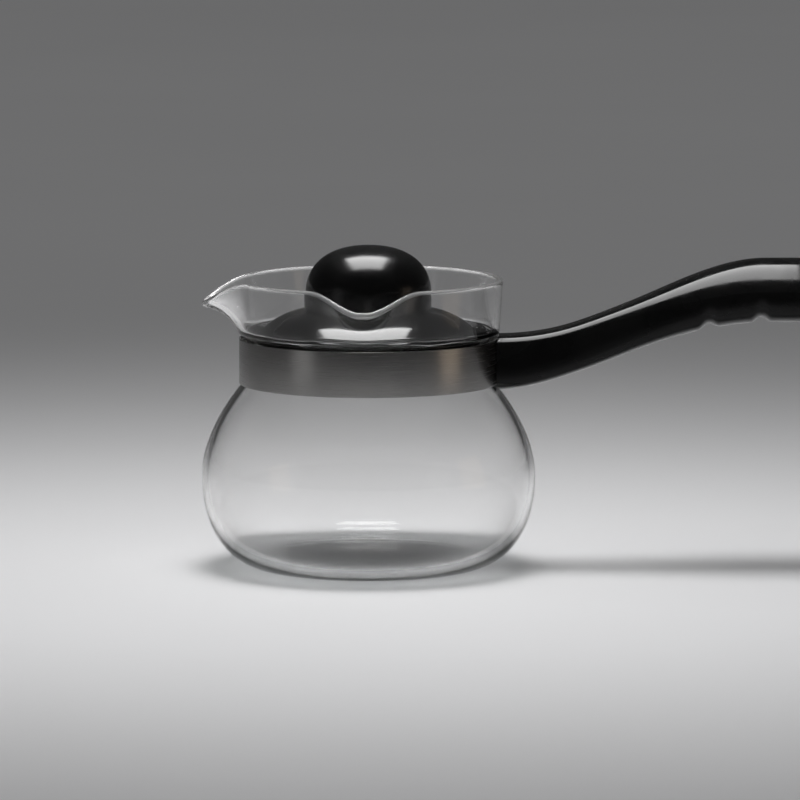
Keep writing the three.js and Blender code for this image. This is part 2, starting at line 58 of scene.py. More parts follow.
# Reach of the glass's curve handles, as shares of the span that each one shapes
FOOT_FULLNESS = 0.57
LOWER_FULLNESS = 0.63
UPPER_FULLNESS = 0.43
NECK_LEAN = 0.3
NECK_DIP = 0.17
SHOULDER_BEND = 0.5

# Reach of the curve handles that round the rim into a half circle, in radii
ROUND_END = 4 / 3

# Distance of the curve handles that round an edge from its corner, as a share of the edge's radius
ROUND_EDGE = 0.45

# Pouring lips: turn in degrees from +X, and how far each is drawn down
LIPS = ((180, 8), (268.4, 6.2), (90, 6.2))
LIP_OVERHANG = 11.8
LIP_HALF_WIDTH = 21.5
LIP_TROUGH = 2
LIP_SHARPNESS = 0.36
LIP_CURL = 1.4
LIP_DROOP = 1.3

# Neck band and the sleeve between it and the glass
BAND_HEIGHT = 16.8
BAND_BELOW_NECK = 2.2
BAND_THICKNESS = 0.7
BAND_EDGE = 0.15
SLEEVE_THICKNESS = 1.6
SLEEVE_INSET = 2.6
SLEEVE_EDGE = 0.5
EAR_LENGTH = 14
EAR_INSET = 2.8
EAR_GAP = 1.4

# Handle
HANDLE_LENGTH = 142
HANDLE_RISE = 26.9
BEND_LENGTH = 100
HANDLE_DROOP = 3.5
DROOP_LENGTH = 32
ROOT_LIP = 1.7
ROOT_SET_DOWN = 0.5
WAIST_HEIGHT = 18.2
GRIP_HEIGHT = 23.4
ROOT_TAPER_LENGTH = 30
GRIP_SWELL_START = 48
GRIP_SWELL_LENGTH = 50
FLARE_START = 26
FLARE_LENGTH = 74
ROOT_WIDTH = 19
GRIP_WIDTH = 36
ROOT_CROWN = 2.4
GRIP_CROWN = 11
ROOT_FLATNESS = 5.5
GRIP_FLATNESS = 2.5
ROOT_KEEL = 4.5
GRIP_KEEL = 8
KEEL_SQUARENESS = 2.6
TIP_ROUND = 16
BURIED_LENGTH = 11
NOTCH_COUNT = 3
NOTCH_START = 77.8
NOTCH_PITCH = 19.4
NOTCH_WIDTH = 8
NOTCH_DEPTH = 1.9

# Lid
FLANGE_THICKNESS = 1.3
FLANGE_OVERLAP = 1.2
FLANGE_WIDTH = 4.8
FLANGE_EDGE = 0.4
DOME_RISE = 6.7
DOME_WALL = 2.2
SKIRT_DEPTH = 8
SKIRT_WALL = 1.8
KNOB_RADIUS = 23.4
KNOB_SIDE = 5.6
KNOB_CROWN = 18.2
KNOB_SQUARENESS = 2.3
KNOB_WALL = 2.6
KNOB_EDGE = 0.6
BOSS_RADIUS = 6

# Curve handles of the lid's dome, as shares of its spread and of its drop
DOME_LEAVE = (0.42, 0.07)
DOME_ARRIVE = (0.74, 0.53)

# Screws, washers and threaded sleeves
SCREW_RADIUS = 2
HEAD_RADIUS = 3.5
HEAD_HEIGHT = 2.4
HEAD_SIDE_SHARE = 0.4
SLOT_WIDTH = 1
SLOT_DEPTH = 1.1
WASHER_RADIUS = 4.2
WASHER_THICKNESS = 0.8
WASHER_EDGE = 0.15
HEAD_RECESS = 0.6
INSERT_WALL = 1.1
INSERT_GROOVE = 0.25
GROOVE_START_SHARE = 0.4
GROOVE_END_SHARE = 0.6
KNOB_INSERT_LENGTH = 8
BLIND_WALL = 2.3

# Clearances between pieces
FIT_GAP = 0.3
THREAD_GAP = 0.15
SEAT_GAP = 0.1
GLASS_GAP = 0.5
SKIRT_GAP = 1

# Fineness of the meshes
VESSEL_SIDES = 192
LID_SIDES = 128
SMALL_SIDES = 48
CURVE_STEPS = 28
EDGE_STEPS = 6
COLLAR_STEPS = 18
HANDLE_STEPS = 220
SECTION_STEPS = 28
TIP_STEPS = 16
ARC_STEPS = 240
SMOOTH_ANGLE = math.radians(38)

# Part of a step by which the handle's last section stops short of its tip
TIP_STOP = 0.2

# Step in height over which the slope of a pouring lip is measured
SLOPE_STEP = 0.05

# Radius below which a point of an outline lies on the axis
AXIS_RADIUS = 1e-6

# Looks: where there are two values, a noise carries the surface from one to the other
GLASS_INDEX = 1.34
GLASS_ROUGHNESS = (0.0, 0.012)
GLASS_EDGE_BLEND = 0.35
GLASS_FACE_TINT = (0.92, 0.925, 0.925)
GLASS_EDGE_TINT = (0.5, 0.51, 0.51)
BODY_CLEARNESS = 1
# The rim's glass is less clear than the body's: the rest of it is a diffuse white, a painted glint that
# brightens the rounded rim
RIM_CLEARNESS = 0.72
STEEL_SHADES = ((0.23, 0.227, 0.223), (0.28, 0.275, 0.268))
STEEL_ROUGHNESS = (0.25, 0.28)
RUBBER_SHADES = ((0.04, 0.04, 0.04), (0.07, 0.07, 0.068))
RUBBER_ROUGHNESS = (0.6, 0.85)
GLOSS_SHADES = ((0.003, 0.003, 0.0031), (0.006, 0.006, 0.006))
SATIN_SHADES = ((0.002, 0.002, 0.0021), (0.004, 0.004, 0.004))
HANDLE_ROUGHNESS = (0.1, 0.18)
LID_ROUGHNESS = (0.08, 0.14)
KNOB_ROUGHNESS = (0.18, 0.24)
ZINC_SHADES = ((0.5, 0.5, 0.49), (0.64, 0.64, 0.62))
BRASS_SHADES = ((0.6, 0.42, 0.16), (0.75, 0.55, 0.24))
TURNED_ROUGHNESS = (0.22, 0.4)
FLOOR_SHADES = ((0.775, 0.775, 0.785), (0.79, 0.79, 0.8))
FLOOR_ROUGHNESS = 0.85

# Usual run of a noise, which is carried onto such a range
NOISE_RUN = (0.3, 0.7)

# Studio, in metres, degrees and watts
FLOOR_SIZE = (24, 24)
FLOOR_DROP = 0.0002
ROOM_LIGHT = 0.04
FILL_SIZE = (12, 12)
FILL_PLACE = (0, 0, 6)
FILL_POWER = 130
KEY_SIZE = (0.5, 0.6)
KEY_PLACE = (0, -0.05, 1.2)
KEY_AIM = (0, -0.03, 0)
KEY_SPREAD = 56
KEY_POWER = 1.32
SOFTBOX_SIZE = (0.46, 0.54)
SOFTBOX_PLACE = (-0.022, 0.12, 0.75)
SOFTBOX_GLOW = 15.4
STRIP_SIZE = (0.15, 0.2)
STRIP_DISTANCE = 0.45
STRIP_HEIGHT = 0.105
CAMERA_AIM = (0.0117, 0, 0.0626)
CAMERA_DISTANCE = 2.8
CAMERA_ELEVATION = 7
CAMERA_LENS = 338.7

# Strips of light: name, turn from the front, colour and power
STRIPS = (("left_strip", -57, (1, 1, 1), 0.035), ("right_strip", 74, (1, 0.8, 0.6), 0.06))

# Heights and radii that follow from the sizes above
band_bottom = NECK_HEIGHT - BAND_BELOW_NECK
band_top = band_bottom + BAND_HEIGHT
band_middle = (band_bottom + band_top) / 2
shoulder_top = band_top + SHOULDER_RISE
rim_height = shoulder_top + COLLAR_RISE
rim_foot = rim_height - GLASS_WALL / 2
collar_radius = NECK_RADIUS + SHOULDER_STEP
rim_radius = collar_radius + RIM_FLARE
inner_neck = NECK_RADIUS - GLASS_WALL
sleeve_inner = NECK_RADIUS + FIT_GAP
sleeve_outer = sleeve_inner + SLEEVE_THICKNESS
band_inner = sleeve_outer + FIT_GAP
band_outer = band_inner + BAND_THICKNESS
ear_end = band_outer + EAR_LENGTH
ear_outer_face = EAR_GAP / 2 + BAND_THICKNESS
clamp_x = band_outer + EAR_LENGTH / 2
ear_slot_half = ear_outer_face + FIT_GAP
insert_radius = SCREW_RADIUS + THREAD_GAP + INSERT_WALL
root_height = BAND_HEIGHT + 2 * ROOT_LIP
washer_seat = ROOT_WIDTH / 2 - HEAD_RECESS - HEAD_HEIGHT - WASHER_THICKNESS
clamp_head_seat = washer_seat + SEAT_GAP + WASHER_THICKNESS + SEAT_GAP
clamp_insert_length = ROOT_WIDTH / 2 - BLIND_WALL - ear_slot_half - FIT_GAP
clamp_screw_length = clamp_head_seat + ear_slot_half + clamp_insert_length


def mix(low, high, share):
    return low + (high - low) * share


def ease(value):
    value = min(1, max(0, value))
    return value * value * (3 - 2 * value)


def rounded(value, squareness):
    return math.copysign(abs(value) ** (2 / squareness), value)


# Outlines, as lists of (radius, height)


def bezier(start, leave, arrive, end, steps=CURVE_STEPS):
    """Points of a cubic curve, without its first one."""
    points = []
    for i in range(1, steps + 1):
        t = i / steps
        weights = ((1 - t) ** 3, 3 * (1 - t) ** 2 * t, 3 * (1 - t) * t * t, t**3)
        corners = (start, leave, arrive, end)
        points.append(tuple(sum(w * c[k] for w, c in zip(weights, corners)) for k in (0, 1)))
    return points


def soften(outline, radii):
    """Rounds the corners of a closed outline; radii maps a corner's number to its radius."""
    points = []
    for number, corner in enumerate(outline):
        if number not in radii:
            points.append(corner)
            continue
        corner = Vector(corner)
        before = Vector(outline[number - 1])
        after = Vector(outline[(number + 1) % len(outline)])
        start = corner + (before - corner).normalized() * radii[number]
        end = corner + (after - corner).normalized() * radii[number]
        points.append(tuple(start))
        leave = corner.lerp(start, ROUND_EDGE)
        arrive = corner.lerp(end, ROUND_EDGE)
        points += bezier(start, leave, arrive, end, EDGE_STEPS)
    return points


def ring_outline(inner, outer, low, high, edge):
    corners = [(inner, low), (outer, low), (outer, high), (inner, high)]
    return soften(corners, {number: edge for number in range(len(corners))})


# Meshes


def new_object(name, points, faces):
    mesh = bpy.data.meshes.new(name)
    mesh.from_pydata([Vector(point) * MM for point in points], [], faces)
    work = bmesh.new()
    work.from_mesh(mesh)
    bmesh.ops.recalc_face_normals(work, faces=work.faces)
    work.to_mesh(mesh)
    work.free()
    made = bpy.data.objects.new(name, mesh)
    bpy.context.scene.collection.objects.link(made)
    smooth(made)
    return made


def smooth(made):
    made.data.polygons.foreach_set("use_smooth", [True] * len(made.data.polygons))
    made.data.set_sharp_from_angle(angle=SMOOTH_ANGLE)


def grid_faces(rows):
    """Quads between neighbouring rows of points, each row closed on itself."""
    faces = []
    for row, next_row in zip(rows, rows[1:]):
        for i in range(len(row)):
            j = (i + 1) % len(row)
            faces.append((row[i], row[j], next_row[j], next_row[i]))
    return faces


def turned(name, outline, sides, closed=True, bend=None):
    """Body of revolution about +Z. An outline that isn't closed starts and ends on the axis."""
    points = []
    rows = []
    for radius, height in outline:
        if radius < AXIS_RADIUS:
            rows.append([len(points)] * sides)
            points.append((0, 0, height))
            continue
        rows.append(list(range(len(points), len(points) + sides)))
        for i in range(sides):
            angle = 2 * math.pi * i / sides
            r, z = bend(radius, height, angle) if bend else (radius, height)
            points.append((r * math.cos(angle), r * math.sin(angle), z))
    if closed:
        rows.append(rows[0])
    faces = []
    for quad in grid_faces(rows):
        corners = list(dict.fromkeys(quad))
        if len(corners) > 2:
            faces.append(corners)
    return new_object(name, points, faces)


def loft(name, sections):
    """Skin over a row of closed sections, capped at both ends."""
    count = len(sections[0])
    points = [point for section in sections for point in section]
    rows = [list(range(row * count, (row + 1) * count)) for row in range(len(sections))]
    return new_object(name, points, grid_faces(rows) + [rows[0], rows[-1]])


def block(name, low, high):
    """Plain cutting block between two corners."""
    xs, ys, zs = zip(low, high)
    sections = [[(x, ys[0], zs[0]), (x, ys[1], zs[0]), (x, ys[1], zs[1]), (x, ys[0], zs[1])] for x in xs]
    return loft(name, sections)


def bar(name, radius, from_y, to_y):
    """Round cutting bar along Y at the clamp screw."""
    sections = []
    for y in (from_y, to_y):
        section = []
        for i in range(SMALL_SIDES):
            angle = 2 * math.pi * i / SMALL_SIDES
            x = clamp_x + radius * math.cos(angle)
            section.append((x, y, band_middle + radius * math.sin(angle)))
        sections.append(section)
    return loft(name, sections)


def carve(made, *tools):
    """Cuts the tools out of a piece and removes them."""
    for tool in tools:
        modifier = made.modifiers.new("cut", "BOOLEAN")
        modifier.operation = "DIFFERENCE"
        modifier.solver = "EXACT"
        modifier.object = tool
    graph = bpy.context.evaluated_depsgraph_get()
    mesh = bpy.data.meshes.new_from_object(made.evaluated_get(graph))
    made.modifiers.clear()
    made.data = mesh
    for tool in tools:
        bpy.data.objects.remove(tool)
    smooth(made)
    return made


# Glass vessel


def belly(foot_radius, foot_height, belly_radius, neck_radius):
    """Belly from the edge of the foot out to the widest ring and in to the neck."""
    spread = belly_radius - foot_radius
    lower = BELLY_HEIGHT - foot_height
    upper = NECK_HEIGHT - BELLY_HEIGHT
    draw_in = belly_radius - neck_radius
    widest = (belly_radius, BELLY_HEIGHT)
    points = [(foot_radius, foot_height)]
    points += bezier(
        points[0],
        (foot_radius + FOOT_FULLNESS * spread, foot_height),
        (belly_radius, BELLY_HEIGHT - LOWER_FULLNESS * lower),
        widest,
    )
    points += bezier(
        widest,
        (belly_radius, BELLY_HEIGHT + UPPER_FULLNESS * upper),
        (neck_radius + NECK_LEAN * draw_in, NECK_HEIGHT - NECK_DIP * upper),
        (neck_radius, NECK_HEIGHT),
    )
    return points


def shoulder(neck_radius, lift):
    """S-curve that carries the neck out into the collar."""
    start = (neck_radius, band_top + lift)
    end = (neck_radius + SHOULDER_STEP, shoulder_top + lift)
    leave = (start[0], mix(start[1], end[1], SHOULDER_BEND))
    arrive = (end[0], mix(end[1], start[1], SHOULDER_BEND))
    return [start] + bezier(start, leave, arrive, end, CURVE_STEPS // 2)


def straight(start, end, steps):
    return [tuple(mix(a, b, i / steps) for a, b in zip(start, end)) for i in range(1, steps)]


def vessel_outline():
    outer_rim = (rim_radius, rim_foot)
    inner_rim = (rim_radius - GLASS_WALL, rim_foot)
    reach = rim_foot + ROUND_END * GLASS_WALL / 2
    outside = shoulder(NECK_RADIUS, 0)
    inside = shoulder(inner_neck, GLASS_WALL / 2)
    points = [(0, 0)]
    points += belly(FOOT_RADIUS, 0, BELLY_RADIUS, NECK_RADIUS)
    points += outside
    points += straight(outside[-1], outer_rim, COLLAR_STEPS) + [outer_rim]
    points += bezier(outer_rim, (rim_radius, reach), (inner_rim[0], reach), inner_rim, 2 * EDGE_STEPS)
    points += straight(inner_rim, inside[-1], COLLAR_STEPS)
    points += inside[::-1]
    points += belly(FOOT_RADIUS, GLASS_FLOOR, BELLY_RADIUS - GLASS_WALL, inner_neck)[::-1]
    return points + [(0, GLASS_FLOOR)]


def lip_share(radius, turn):
    """How far a point of the collar belongs to a pouring lip, from 0 beside it to 1 in its trough."""
    if math.cos(turn) <= 0:
        return 0
    across = abs(radius * math.sin(turn))
    inwards = (LIP_HALF_WIDTH - across) / (LIP_HALF_WIDTH - LIP_TROUGH)
    slope = min(1, max(0, inwards))
    return mix(ease(slope), slope**2, LIP_SHARPNESS)


def collar_middle(height):
    climb = (height - shoulder_top) / (rim_foot - shoulder_top)
    return mix(collar_radius, rim_radius, climb) - GLASS_WALL / 2


def drawn_middle(height, share, drop):
    """Where a lip carries the middle of the wall: out and down, more and more towards the rim."""
    climb = max(0, (height - shoulder_top) / (rim_foot - shoulder_top))
    pull = share * climb**LIP_CURL
    return Vector((collar_middle(height) + LIP_OVERHANG * pull, height - drop * pull**LIP_DROOP))


def bend_lips(radius, height, angle):
    level = min(height, rim_foot)
    if level <= shoulder_top:
        return radius, height
    for turn, drop in LIPS:
        share = lip_share(collar_middle(level), angle - math.radians(turn))
        if share == 0:
            continue
        middle = drawn_middle(level, share, drop)
        upwards = (middle - drawn_middle(level - SLOPE_STEP, share, drop)).normalized()
        outwards = Vector((upwards.y, -upwards.x))
        bent = middle + upwards * (height - level) + outwards * (radius - collar_middle(level))
        return bent.x, bent.y
    return radius, height


def glass_vessel():
    return turned("glass_vessel", vessel_outline(), VESSEL_SIDES, closed=False, bend=bend_lips)


def paint_rim_glints(made, material):
    """Gives the rounded rim its own material, a milkier glass whose diffuse white is a painted glint
    along the rim; each step of the outline is one ring of faces.
    """
    rim_index = len(made.data.materials)
    made.data.materials.append(material)
    outline = vessel_outline()
    for ring, (before, after) in enumerate(zip(outline, outline[1:])):
        if min(before[1], after[1]) < rim_foot:
            continue
        for face in made.data.polygons[ring * VESSEL_SIDES : (ring + 1) * VESSEL_SIDES]:
            face.material_index = rim_index


def glass_keep_out(margin):
    """Solid that holds the glass and a margin round it, for shaping the handle's root."""
    points = [(0, -margin)]
    points += belly(FOOT_RADIUS + margin, -margin, BELLY_RADIUS + margin, NECK_RADIUS + margin)
    points += [(radius + margin, height) for radius, height in shoulder(NECK_RADIUS, 0)]
    points += [(rim_radius + margin, rim_height), (0, rim_height)]
    return turned("keep_out", points, VESSEL_SIDES, closed=False)


# Neck band


def grip_sleeve():
    low = band_bottom + SLEEVE_INSET
    high = band_top - SLEEVE_INSET
    outline = ring_outline(sleeve_inner, sleeve_outer, low, high, SLEEVE_EDGE)
    return turned("grip_sleeve", outline, VESSEL_SIDES)


def band_path():
    """Middle line of the strap as (x, y, normal x, normal y, half height), from ear to ear."""
    middle = (band_inner + band_outer) / 2
    side = (EAR_GAP + BAND_THICKNESS) / 2
    corner = math.asin(side / middle)
    ear_half = BAND_HEIGHT / 2 - EAR_INSET
    turn = middle * math.cos(corner)
    path = [(ear_end, side, 0, 1, ear_half), (turn + BAND_THICKNESS, side, 0, 1, ear_half)]
    for i in range(ARC_STEPS + 1):
        angle = mix(corner, 2 * math.pi - corner, i / ARC_STEPS)
        across = (math.cos(angle), math.sin(angle))
        path.append((middle * across[0], middle * across[1], *across, BAND_HEIGHT / 2))
    path.append((turn + BAND_THICKNESS, -side, 0, -1, ear_half))
    path.append((ear_end, -side, 0, -1, ear_half))
    return path


def steel_band():
    """Split strap with rounded edges, whose ends turn outwards as flat ears inside the handle."""
    half = BAND_THICKNESS / 2
    sections = []
    for x, y, across_x, across_y, half_height in band_path():
        outline = ring_outline(-half, half, -half_height, half_height, BAND_EDGE)
        sections.append([(x + across_x * t, y + across_y * t, band_middle + z) for t, z in outline])
    return loft("steel_band", sections)


# Handle


def tip_share(along):
    """Shrinks the sections of the last stretch into a rounded tip."""
    past = max(0, along - (HANDLE_LENGTH - TIP_ROUND)) / TIP_ROUND
    return math.sqrt(max(0, 1 - past * past))


def notch_rise(along):
    for i in range(NOTCH_COUNT):
        offset = abs(along - NOTCH_START - i * NOTCH_PITCH) / (NOTCH_WIDTH / 2)
        if offset < 1:
            return NOTCH_DEPTH * (1 + math.cos(math.pi * offset)) / 2
    return 0


def handle_section(along):
    """Closed ring of points: a crowned top, straight sides and a rounded underside."""
    swell = ease((along - GRIP_SWELL_START) / GRIP_SWELL_LENGTH)
    flare = ease((along - FLARE_START) / FLARE_LENGTH)
    tip = tip_share(along)
    droop = HANDLE_DROOP * ease((along - HANDLE_LENGTH + DROOP_LENGTH) / DROOP_LENGTH)
    middle = band_middle - ROOT_SET_DOWN + HANDLE_RISE * ease(along / BEND_LENGTH) - droop
    neck = mix(root_height, WAIST_HEIGHT, ease(along / ROOT_TAPER_LENGTH))
    half_height = mix(neck, GRIP_HEIGHT, swell) / 2 * tip
    half_width = mix(ROOT_WIDTH, GRIP_WIDTH, flare) / 2 * tip
    crown = mix(ROOT_CROWN, GRIP_CROWN, flare) * tip
    flatness = mix(ROOT_FLATNESS, GRIP_FLATNESS, flare)
    keel = mix(ROOT_KEEL, GRIP_KEEL, flare) * tip
    x = band_outer + along
    points = []
    for i in range(SECTION_STEPS + 1):
        share = math.cos(math.pi * i / SECTION_STEPS)
        points.append((x, half_width * share, middle + half_height - crown * abs(share) ** flatness))
    for i in range(SECTION_STEPS + 1):
        angle = math.pi * (1 + i / SECTION_STEPS)
        y = half_width * rounded(math.cos(angle), KEEL_SQUARENESS)
        lift = keel * (1 + rounded(math.sin(angle), KEEL_SQUARENESS))
        points.append((x, y, middle - half_height + lift + notch_rise(along)))
    return points


def handle_stations():
    straight_length = HANDLE_LENGTH - TIP_ROUND
    stations = [mix(-BURIED_LENGTH, straight_length, i / HANDLE_STEPS) for i in range(HANDLE_STEPS + 1)]
    for i in range(1, TIP_STEPS + 1):
        turn = (math.pi / 2) * (i / (TIP_STEPS + TIP_STOP))
        stations.append(straight_length + TIP_ROUND * math.sin(turn))
    return stations


def black_handle():
    saddle_radius = band_outer + FIT_GAP
    low = band_middle - root_height
    high = band_middle + root_height
    saddle_outline = [(0, low), (saddle_radius, low), (saddle_radius, high), (0, high)]
    saddle = turned("saddle", saddle_outline, VESSEL_SIDES, closed=False)
    ear_slot = block(
        "ear_slot",
        (band_inner, -ear_slot_half, band_bottom + EAR_INSET - FIT_GAP),
        (ear_end + FIT_GAP, ear_slot_half, band_top - EAR_INSET + FIT_GAP),
    )
    return carve(
        loft("black_handle", [handle_section(along) for along in handle_stations()]),
        saddle,
        glass_keep_out(GLASS_GAP),
        ear_slot,
        bar("pocket", WASHER_RADIUS + FIT_GAP, washer_seat, ROOT_WIDTH),
        bar("shank_hole", SCREW_RADIUS + FIT_GAP, 0, washer_seat + SEAT_GAP),
        bar("insert_hole", insert_radius + FIT_GAP, 0, -ear_slot_half - clamp_insert_length - FIT_GAP),
    )


# Screws, washers and threaded sleeves


def place(made, placing):
    """Puts a small piece, made about its own axis, where it belongs."""
    made.data.transform(placing)
    return made


def screw(name, length, placing):
    """Slotted pan-head screw: the head stands on the plane z = 0 and the shank hangs below it."""
    round_start = (HEAD_RADIUS, HEAD_HEIGHT * HEAD_SIDE_SHARE)
    round_end = (HEAD_RADIUS - HEAD_HEIGHT * (1 - HEAD_SIDE_SHARE), HEAD_HEIGHT)
    corner = (HEAD_RADIUS, HEAD_HEIGHT)
    outline = [(0, -length), (SCREW_RADIUS, -length), (SCREW_RADIUS, 0), (HEAD_RADIUS, 0), round_start]
    outline += bezier(round_start, corner, corner, round_end, EDGE_STEPS) + [(0, HEAD_HEIGHT)]
    made = turned(name, outline, SMALL_SIDES, closed=False)
    slot = block(
        "slot",
        (-SLOT_WIDTH / 2, -2 * HEAD_RADIUS, HEAD_HEIGHT - SLOT_DEPTH),
        (SLOT_WIDTH / 2, 2 * HEAD_RADIUS, 2 * HEAD_HEIGHT),
    )
    return place(carve(made, slot), placing)


def washer(name, placing):
    outline = ring_outline(SCREW_RADIUS + THREAD_GAP, WASHER_RADIUS, 0, WASHER_THICKNESS, WASHER_EDGE)
    return place(turned(name, outline, SMALL_SIDES), placing)


def threaded_sleeve(name, length, placing):
    """Brass sleeve with a groove round its middle that locks it into the plastic."""
    inner = SCREW_RADIUS + THREAD_GAP
    groove = insert_radius - INSERT_GROOVE
    lower = length * GROOVE_START_SHARE
    upper = length * GROOVE_END_SHARE
    outline = [(inner, 0), (insert_radius, 0), (insert_radius, lower), (groove, lower + INSERT_GROOVE)]
    outline += [(groove, upper - INSERT_GROOVE), (insert_radius, upper)]
    outline += [(insert_radius, length), (inner, length)]
    return place(turned(name, outline, SMALL_SIDES), placing)


def across_handle(y):
    """Placing for hardware along the clamp screw, whose head is towards +Y."""
    spot = Matrix.Translation(Vector((clamp_x, y, band_middle)) * MM)
    return spot @ Matrix.Rotation(-math.pi / 2, 4, "X")


def on_axis(height, flipped=False):
    spot = Matrix.Translation(Vector((0, 0, height)) * MM)
    return spot @ Matrix.Rotation(math.pi, 4, "X") if flipped else spot


# Lid


def shoulder_height(radius):
    """Height at which the inner shoulder reaches a radius."""
    points = shoulder(inner_neck, GLASS_WALL / 2)
    for (r0, z0), (r1, z1) in zip(points, points[1:]):
        if r1 >= radius:
            return mix(z0, z1, (radius - r0) / (r1 - r0))
    return shoulder_top


flange_radius = inner_neck + FLANGE_OVERLAP
flange_bottom = shoulder_height(flange_radius + FIT_GAP)
flange_top = flange_bottom + FLANGE_THICKNESS
dome_foot = flange_radius - FLANGE_WIDTH
dome_top = flange_top + DOME_RISE
skirt_radius = inner_neck - SKIRT_GAP
knob_bottom = dome_top + SEAT_GAP


def dome_curve(seat_radius, seat_height, foot_radius, foot_height):
    spread = foot_radius - seat_radius
    drop = seat_height - foot_height
    seat = (seat_radius, seat_height)
    leave = (seat_radius + DOME_LEAVE[0] * spread, seat_height - DOME_LEAVE[1] * drop)
    arrive = (seat_radius + DOME_ARRIVE[0] * spread, seat_height - DOME_ARRIVE[1] * drop)
    return [seat] + bezier(seat, leave, arrive, (foot_radius, foot_height))


def domed_lid():
    hole = SCREW_RADIUS + FIT_GAP
    inner_foot = dome_foot - DOME_WALL
    skirt_inner = skirt_radius - SKIRT_WALL
    skirt_low = flange_bottom - SKIRT_DEPTH
    under = dome_top - DOME_WALL
    edge = [
        (flange_radius, flange_top),
        (flange_radius, flange_bottom),
        (skirt_radius, flange_bottom),
        (skirt_radius, skirt_low),
        (skirt_inner, skirt_low),
        (skirt_inner, flange_bottom),
    ]
    outline = [(hole, dome_top)] + dome_curve(KNOB_RADIUS, dome_top, dome_foot, flange_top)
    first = len(outline)
    outline += edge
    outline += dome_curve(KNOB_RADIUS, under, inner_foot, flange_bottom)[::-1] + [(hole, under)]
    flange_and_foot = (0, 1, 3, 4)
    rounds = {first + corner: FLANGE_EDGE for corner in flange_and_foot}
    return turned("domed_lid", soften(outline, rounds), LID_SIDES)


def knob_shell(radius, crown):
    """Rounded shell of the knob, from the top of its side over to the axis."""
    points = []
    for i in range(CURVE_STEPS):
        angle = (math.pi / 2) * (i / CURVE_STEPS)
        up = crown * rounded(math.sin(angle), KNOB_SQUARENESS)
        points.append((radius * rounded(math.cos(angle), KNOB_SQUARENESS), knob_bottom + KNOB_SIDE + up))
    return points + [(0, knob_bottom + KNOB_SIDE + crown)]


def round_knob():
    """Hollow knob with a central boss that holds the threaded sleeve."""
    pocket = insert_radius + FIT_GAP
    pocket_top = knob_bottom + KNOB_INSERT_LENGTH + 2 * FIT_GAP
    inner_radius = KNOB_RADIUS - KNOB_WALL
    inner = knob_shell(inner_radius, KNOB_CROWN - KNOB_WALL)
    ceiling = [point for point in inner if point[0] > BOSS_RADIUS + KNOB_WALL / 2]
    outline = [(0, pocket_top), (pocket, pocket_top), (pocket, knob_bottom), (BOSS_RADIUS, knob_bottom)]
    outline += [(BOSS_RADIUS, ceiling[-1][1])] + ceiling[::-1]
    outline += [(inner_radius, knob_bottom), (KNOB_RADIUS, knob_bottom)]
    foot = len(outline) - 1
    outline += knob_shell(KNOB_RADIUS, KNOB_CROWN)
    return turned("round_knob", soften(outline, {foot: KNOB_EDGE}), LID_SIDES, closed=False)


# Materials


def surface(name, colour, roughness, metallic=0):
    """New material; returns its node tree and its main shader too."""
    material = bpy.data.materials.new(name)
    material.use_nodes = True
    shader = material.node_tree.nodes["Principled BSDF"]
    shader.inputs["Base Color"].default_value = (*colour, 1)
    shader.inputs["Roughness"].default_value = roughness
    shader.inputs["Metallic"].default_value = metallic
    return material, material.node_tree, shader


def noise(tree, scale, stretch=(1, 1, 1), detail=3):
    """Noise over the piece in its own metres; stretch multiplies the scale along each axis."""
    place_on_piece = tree.nodes.new("ShaderNodeTexCoord")
    mapping = tree.nodes.new("ShaderNodeMapping")
    mapping.inputs["Scale"].default_value = stretch
    texture = tree.nodes.new("ShaderNodeTexNoise")
    texture.inputs["Scale"].default_value = scale
    texture.inputs["Detail"].default_value = detail
    tree.links.new(place_on_piece.outputs["Object"], mapping.inputs["Vector"])
    tree.links.new(mapping.outputs["Vector"], texture.inputs["Vector"])
    return texture.outputs["Fac"]


def map_noise(tree, source, low, high):
    """Carries the usual run of a noise onto a range of values."""
    node = tree.nodes.new("ShaderNodeMapRange")
    node.inputs["From Min"].default_value = NOISE_RUN[0]
    node.inputs["From Max"].default_value = NOISE_RUN[1]
    node.inputs["To Min"].default_value = low
    node.inputs["To Max"].default_value = high
    tree.links.new(source, node.inputs["Value"])
    return node.outputs["Result"]


def blend(tree, factor, first, second):
    """Colour between two others."""
    node = tree.nodes.new("ShaderNodeMix")
    node.data_type = "RGBA"
    node.inputs["A"].default_value = (*first, 1)
    node.inputs["B"].default_value = (*second, 1)
    tree.links.new(factor, node.inputs["Factor"])
    return node.outputs["Result"]


def vary_colour(tree, shader, source, shades):
    colour = blend(tree, map_noise(tree, source, 0, 1), *shades)
    tree.links.new(colour, shader.inputs["Base Color"])


def vary_roughness(tree, shader, source, roughness):
    tree.links.new(map_noise(tree, source, *roughness), shader.inputs["Roughness"])


def bump(tree, shader, source, strength, depth):
    """Relief of a depth in millimetres."""
    node = tree.nodes.new("ShaderNodeBump")
    node.inputs["Strength"].default_value = strength
    node.inputs["Distance"].default_value = depth * MM
    tree.links.new(source, node.inputs["Height"])
    tree.links.new(node.outputs["Normal"], shader.inputs["Normal"])


def pass_shadow_rays(tree, shader):
    """Lets light through to the floor, less so where the glass is seen edge on."""
    facing = tree.nodes.new("ShaderNodeLayerWeight")
    facing.inputs["Blend"].default_value = GLASS_EDGE_BLEND
    tint = blend(tree, facing.outputs["Facing"], GLASS_FACE_TINT, GLASS_EDGE_TINT)
    through = tree.nodes.new("ShaderNodeBsdfTransparent")
    path = tree.nodes.new("ShaderNodeLightPath")
    join = tree.nodes.new("ShaderNodeMixShader")
    tree.links.new(tint, through.inputs["Color"])
    tree.links.new(path.outputs["Is Shadow Ray"], join.inputs["Fac"])
    tree.links.new(shader.outputs["BSDF"], join.inputs[1])
    tree.links.new(through.outputs["BSDF"], join.inputs[2])
    tree.links.new(join.outputs["Shader"], tree.nodes["Material Output"].inputs["Surface"])


